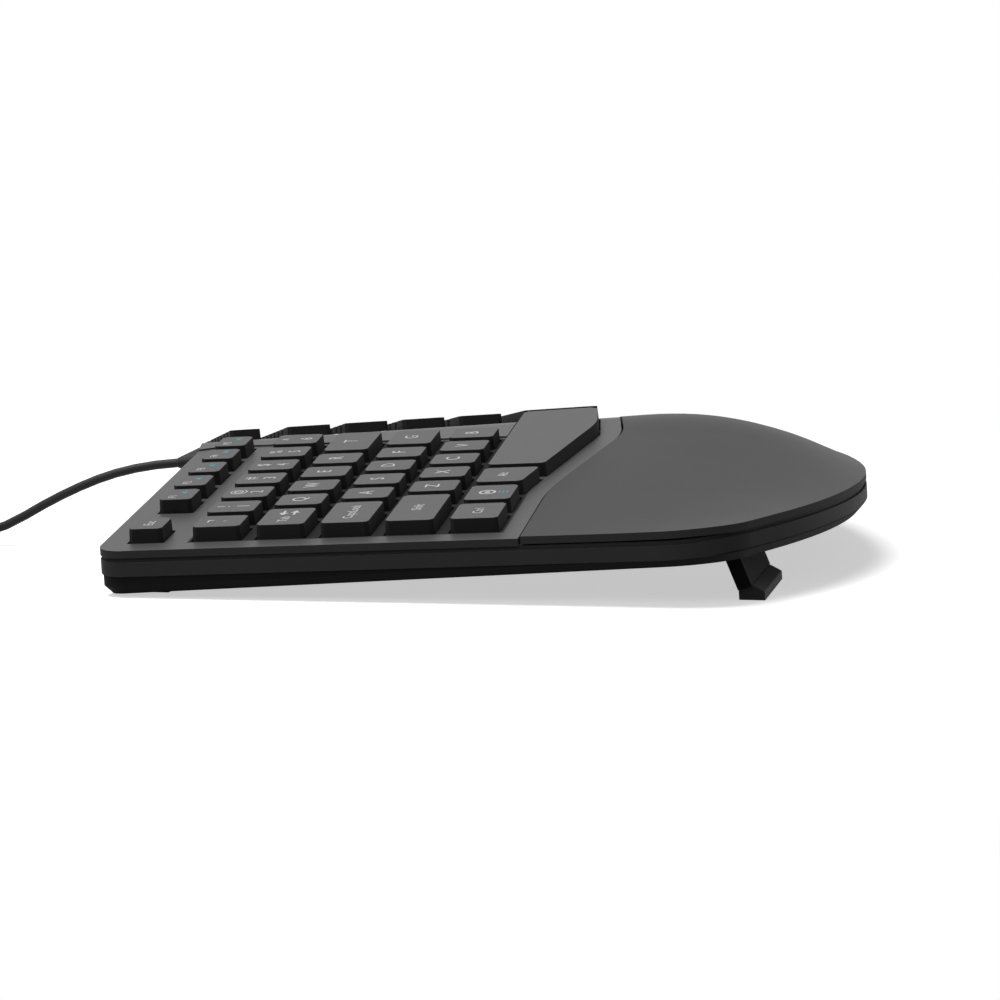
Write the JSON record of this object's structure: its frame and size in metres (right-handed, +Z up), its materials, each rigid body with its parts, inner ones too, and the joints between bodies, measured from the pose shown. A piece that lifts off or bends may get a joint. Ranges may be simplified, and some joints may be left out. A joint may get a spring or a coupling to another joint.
{
  "type": "ergonomic keyboard",
  "caption": "Wired split ergonomic keyboard with two tented key fields, a domed palm rest in one piece, a tapered centre plate and two fold-out front legs, with its cord coiled behind it.",
  "frame": {"origin": "on the floor plane under the middle of the object's footprint, legs folded out, cord not counted", "axes": "+X to the typist's right along the longest side, +Y to the rear where the cord leaves, +Z up"},
  "size_m": [0.404, 0.4034, 0.0461],
  "materials": {
    "keycap": "fine matt texture with printed legends",
    "deck": "fine matt texture",
    "plate": "satin",
    "palm": "soft-touch, fine grain",
    "band": "satin dark grey",
    "case": "black, fine spark texture",
    "lens": "clear diffuse",
    "dome": "silicone, translucent grey",
    "membrane": "clear film with printed tracks",
    "steel": "plain rolled",
    "board": "solder mask",
    "screw": "zinc plated",
    "pad": "soft black rubber",
    "leg": "black, fine texture",
    "relief": "moulded, black",
    "cord": "smooth black jacket",
    "plug": "moulded, black",
    "shell": "polished nickel",
    "tongue": "plain white",
    "tie": "black strap"
  },
  "bodies": {
    "housing": {"top_cover": "deck", "palm_rest": "palm", "side_band": "band", "bottom_case": "case", "centre_plate": "plate", "indicator_lenses": "lens", "dome_sheet_left": "dome", "dome_sheet_right": "dome", "membrane_left": "membrane", "membrane_right": "membrane", "support_plate_left": "steel", "support_plate_right": "steel", "controller_board": "board", "case_screws": "screw", "rear_pads": "pad", "strain_relief": "relief", "cord_run": "cord", "cord_coil": "cord", "cord_tail": "cord", "plug_grip": "plug", "plug_shell": "shell", "plug_tongue": "tongue", "cable_tie": "tie"},
    "leg_assembly_left": {"leg_left": "leg", "leg_pad_left": "pad"},
    "leg_assembly_right": {"leg_right": "leg", "leg_pad_right": "pad"},
    "press_key_escape": {"key_escape": "keycap"},
    "press_keys_function_left": {"keys_function_left": "keycap"},
    "press_keys_number_left": {"keys_number_left": "keycap"},
    "press_key_tab": {"key_tab": "keycap"},
    "press_keys_upper_left": {"keys_upper_left": "keycap"},
    "press_key_caps_lock": {"key_caps_lock": "keycap"},
    "press_keys_home_left": {"keys_home_left": "keycap"},
    "press_key_shift_left": {"key_shift_left": "keycap"},
    "press_keys_lower_left": {"keys_lower_left": "keycap"},
    "press_key_control_left": {"key_control_left": "keycap"},
    "press_key_system_left": {"key_system_left": "keycap"},
    "press_key_alt_left": {"key_alt_left": "keycap"},
    "press_key_space_left": {"key_space_left": "keycap"},
    "press_keys_function_right": {"keys_function_right": "keycap"},
    "press_keys_function_end": {"keys_function_end": "keycap"},
    "press_keys_number_right": {"keys_number_right": "keycap"},
    "press_key_backspace": {"key_backspace": "keycap"},
    "press_keys_upper_right": {"keys_upper_right": "keycap"},
    "press_key_enter": {"key_enter": "keycap"},
    "press_keys_home_right": {"keys_home_right": "keycap"},
    "press_keys_lower_right": {"keys_lower_right": "keycap"},
    "press_key_shift_right": {"key_shift_right": "keycap"},
    "press_key_space_right": {"key_space_right": "keycap"},
    "press_key_alt_right": {"key_alt_right": "keycap"},
    "press_keys_system_right": {"keys_system_right": "keycap"},
    "press_key_control_right": {"key_control_right": "keycap"},
    "press_key_arrow_up": {"key_arrow_up": "keycap"},
    "press_key_arrow_left": {"key_arrow_left": "keycap"},
    "press_key_arrow_down": {"key_arrow_down": "keycap"},
    "press_key_arrow_right": {"key_arrow_right": "keycap"},
    "press_keys_navigation_outer": {"keys_navigation_outer": "keycap"},
    "press_key_delete_tall": {"key_delete_tall": "keycap"},
    "press_key_navigation_inner": {"key_navigation_inner": "keycap"}
  },
  "joints": [
    {"name": "leg_fold_left", "type": "hinge", "parent": "housing", "child": "leg_assembly_left", "pos_m": [-0.15171, -0.07428, 0.01623], "axis": [0.9895, -0.1449, 0], "range_deg": [0, 109]},
    {"name": "leg_fold_right", "type": "hinge", "parent": "housing", "child": "leg_assembly_right", "pos_m": [0.15149, -0.06487, 0.0156], "axis": [0.9895, 0.1449, 0], "range_deg": [0, 109]},
    {"name": "press_key_escape", "type": "slide", "parent": "housing", "child": "press_key_escape", "axis": [0.1288, -0.0666, -0.9894], "range_m": [0, 0.0025], "stiffness_N_per_m": 160, "springref_m": -0.0015, "deforming": ["dome_sheet_left"]},
    {"name": "press_keys_function_left", "type": "slide", "parent": "housing", "child": "press_keys_function_left", "axis": [0.1288, -0.0666, -0.9894], "range_m": [0, 0.0025], "stiffness_N_per_m": 800, "springref_m": -0.0015, "deforming": ["dome_sheet_left"]},
    {"name": "press_keys_number_left", "type": "slide", "parent": "housing", "child": "press_keys_number_left", "axis": [0.1288, -0.0666, -0.9894], "range_m": [0, 0.0025], "stiffness_N_per_m": 1120, "springref_m": -0.0015, "deforming": ["dome_sheet_left"]},
    {"name": "press_key_tab", "type": "slide", "parent": "housing", "child": "press_key_tab", "axis": [0.1288, -0.0666, -0.9894], "range_m": [0, 0.0025], "stiffness_N_per_m": 160, "springref_m": -0.0015, "deforming": ["dome_sheet_left"]},
    {"name": "press_keys_upper_left", "type": "slide", "parent": "housing", "child": "press_keys_upper_left", "axis": [0.1288, -0.0666, -0.9894], "range_m": [0, 0.0025], "stiffness_N_per_m": 800, "springref_m": -0.0015, "deforming": ["dome_sheet_left"]},
    {"name": "press_key_caps_lock", "type": "slide", "parent": "housing", "child": "press_key_caps_lock", "axis": [0.1288, -0.0666, -0.9894], "range_m": [0, 0.0025], "stiffness_N_per_m": 160, "springref_m": -0.0015, "deforming": ["dome_sheet_left"]},
    {"name": "press_keys_home_left", "type": "slide", "parent": "housing", "child": "press_keys_home_left", "axis": [0.1288, -0.0666, -0.9894], "range_m": [0, 0.0025], "stiffness_N_per_m": 800, "springref_m": -0.0015, "deforming": ["dome_sheet_left"]},
    {"name": "press_key_shift_left", "type": "slide", "parent": "housing", "child": "press_key_shift_left", "axis": [0.1288, -0.0666, -0.9894], "range_m": [0, 0.0025], "stiffness_N_per_m": 160, "springref_m": -0.0015, "deforming": ["dome_sheet_left"]},
    {"name": "press_keys_lower_left", "type": "slide", "parent": "housing", "child": "press_keys_lower_left", "axis": [0.1288, -0.0666, -0.9894], "range_m": [0, 0.0025], "stiffness_N_per_m": 800, "springref_m": -0.0015, "deforming": ["dome_sheet_left"]},
    {"name": "press_key_control_left", "type": "slide", "parent": "housing", "child": "press_key_control_left", "axis": [0.1288, -0.0666, -0.9894], "range_m": [0, 0.0025], "stiffness_N_per_m": 160, "springref_m": -0.0015, "deforming": ["dome_sheet_left"]},
    {"name": "press_key_system_left", "type": "slide", "parent": "housing", "child": "press_key_system_left", "axis": [0.1288, -0.0666, -0.9894], "range_m": [0, 0.0025], "stiffness_N_per_m": 160, "springref_m": -0.0015, "deforming": ["dome_sheet_left"]},
    {"name": "press_key_alt_left", "type": "slide", "parent": "housing", "child": "press_key_alt_left", "axis": [0.1288, -0.0666, -0.9894], "range_m": [0, 0.0025], "stiffness_N_per_m": 160, "springref_m": -0.0015, "deforming": ["dome_sheet_left"]},
    {"name": "press_key_space_left", "type": "slide", "parent": "housing", "child": "press_key_space_left", "axis": [0.1288, -0.0666, -0.9894], "range_m": [0, 0.0025], "stiffness_N_per_m": 160, "springref_m": -0.0015, "deforming": ["dome_sheet_left"]},
    {"name": "press_keys_function_right", "type": "slide", "parent": "housing", "child": "press_keys_function_right", "axis": [-0.0906, -0.0669, -0.9936], "range_m": [0, 0.0025], "stiffness_N_per_m": 1120, "springref_m": -0.0015, "deforming": ["dome_sheet_right"]},
    {"name": "press_keys_function_end", "type": "slide", "parent": "housing", "child": "press_keys_function_end", "axis": [-0.0906, -0.0669, -0.9936], "range_m": [0, 0.0025], "stiffness_N_per_m": 480, "springref_m": -0.0015, "deforming": ["dome_sheet_right"]},
    {"name": "press_keys_number_right", "type": "slide", "parent": "housing", "child": "press_keys_number_right", "axis": [-0.0906, -0.0669, -0.9936], "range_m": [0, 0.0025], "stiffness_N_per_m": 960, "springref_m": -0.0015, "deforming": ["dome_sheet_right"]},
    {"name": "press_key_backspace", "type": "slide", "parent": "housing", "child": "press_key_backspace", "axis": [-0.0906, -0.0669, -0.9936], "range_m": [0, 0.0025], "stiffness_N_per_m": 160, "springref_m": -0.0015, "deforming": ["dome_sheet_right"]},
    {"name": "press_keys_upper_right", "type": "slide", "parent": "housing", "child": "press_keys_upper_right", "axis": [-0.0906, -0.0669, -0.9936], "range_m": [0, 0.0025], "stiffness_N_per_m": 1120, "springref_m": -0.0015, "deforming": ["dome_sheet_right"]},
    {"name": "press_key_enter", "type": "slide", "parent": "housing", "child": "press_key_enter", "axis": [-0.0906, -0.0669, -0.9936], "range_m": [0, 0.0025], "stiffness_N_per_m": 160, "springref_m": -0.0015, "deforming": ["dome_sheet_right"]},
    {"name": "press_keys_home_right", "type": "slide", "parent": "housing", "child": "press_keys_home_right", "axis": [-0.0906, -0.0669, -0.9936], "range_m": [0, 0.0025], "stiffness_N_per_m": 1120, "springref_m": -0.0015, "deforming": ["dome_sheet_right"]},
    {"name": "press_keys_lower_right", "type": "slide", "parent": "housing", "child": "press_keys_lower_right", "axis": [-0.0906, -0.0669, -0.9936], "range_m": [0, 0.0025], "stiffness_N_per_m": 800, "springref_m": -0.0015, "deforming": ["dome_sheet_right"]},
    {"name": "press_key_shift_right", "type": "slide", "parent": "housing", "child": "press_key_shift_right", "axis": [-0.0906, -0.0669, -0.9936], "range_m": [0, 0.0025], "stiffness_N_per_m": 160, "springref_m": -0.0015, "deforming": ["dome_sheet_right"]},
    {"name": "press_key_space_right", "type": "slide", "parent": "housing", "child": "press_key_space_right", "axis": [-0.0906, -0.0669, -0.9936], "range_m": [0, 0.0025], "stiffness_N_per_m": 160, "springref_m": -0.0015, "deforming": ["dome_sheet_right"]},
    {"name": "press_key_alt_right", "type": "slide", "parent": "housing", "child": "press_key_alt_right", "axis": [-0.0906, -0.0669, -0.9936], "range_m": [0, 0.0025], "stiffness_N_per_m": 160, "springref_m": -0.0015, "deforming": ["dome_sheet_right"]},
    {"name": "press_keys_system_right", "type": "slide", "parent": "housing", "child": "press_keys_system_right", "axis": [-0.0906, -0.0669, -0.9936], "range_m": [0, 0.0025], "stiffness_N_per_m": 320, "springref_m": -0.0015, "deforming": ["dome_sheet_right"]},
    {"name": "press_key_control_right", "type": "slide", "parent": "housing", "child": "press_key_control_right", "axis": [-0.0906, -0.0669, -0.9936], "range_m": [0, 0.0025], "stiffness_N_per_m": 160, "springref_m": -0.0015, "deforming": ["dome_sheet_right"]},
    {"name": "press_key_arrow_up", "type": "slide", "parent": "housing", "child": "press_key_arrow_up", "axis": [-0.0906, -0.0669, -0.9936], "range_m": [0, 0.0025], "stiffness_N_per_m": 160, "springref_m": -0.0015, "deforming": ["dome_sheet_right"]},
    {"name": "press_key_arrow_left", "type": "slide", "parent": "housing", "child": "press_key_arrow_left", "axis": [-0.0906, -0.0669, -0.9936], "range_m": [0, 0.0025], "stiffness_N_per_m": 160, "springref_m": -0.0015, "deforming": ["dome_sheet_right"]},
    {"name": "press_key_arrow_down", "type": "slide", "parent": "housing", "child": "press_key_arrow_down", "axis": [-0.0906, -0.0669, -0.9936], "range_m": [0, 0.0025], "stiffness_N_per_m": 160, "springref_m": -0.0015, "deforming": ["dome_sheet_right"]},
    {"name": "press_key_arrow_right", "type": "slide", "parent": "housing", "child": "press_key_arrow_right", "axis": [-0.0906, -0.0669, -0.9936], "range_m": [0, 0.0025], "stiffness_N_per_m": 160, "springref_m": -0.0015, "deforming": ["dome_sheet_right"]},
    {"name": "press_keys_navigation_outer", "type": "slide", "parent": "housing", "child": "press_keys_navigation_outer", "axis": [-0.0906, -0.0669, -0.9936], "range_m": [0, 0.0025], "stiffness_N_per_m": 640, "springref_m": -0.0015, "deforming": ["dome_sheet_right"]},
    {"name": "press_key_delete_tall", "type": "slide", "parent": "housing", "child": "press_key_delete_tall", "axis": [-0.0906, -0.0669, -0.9936], "range_m": [0, 0.0025], "stiffness_N_per_m": 160, "springref_m": -0.0015, "deforming": ["dome_sheet_right"]},
    {"name": "press_key_navigation_inner", "type": "slide", "parent": "housing", "child": "press_key_navigation_inner", "axis": [-0.0906, -0.0669, -0.9936], "range_m": [0, 0.0025], "stiffness_N_per_m": 160, "springref_m": -0.0015, "deforming": ["dome_sheet_right"]}
  ]
}
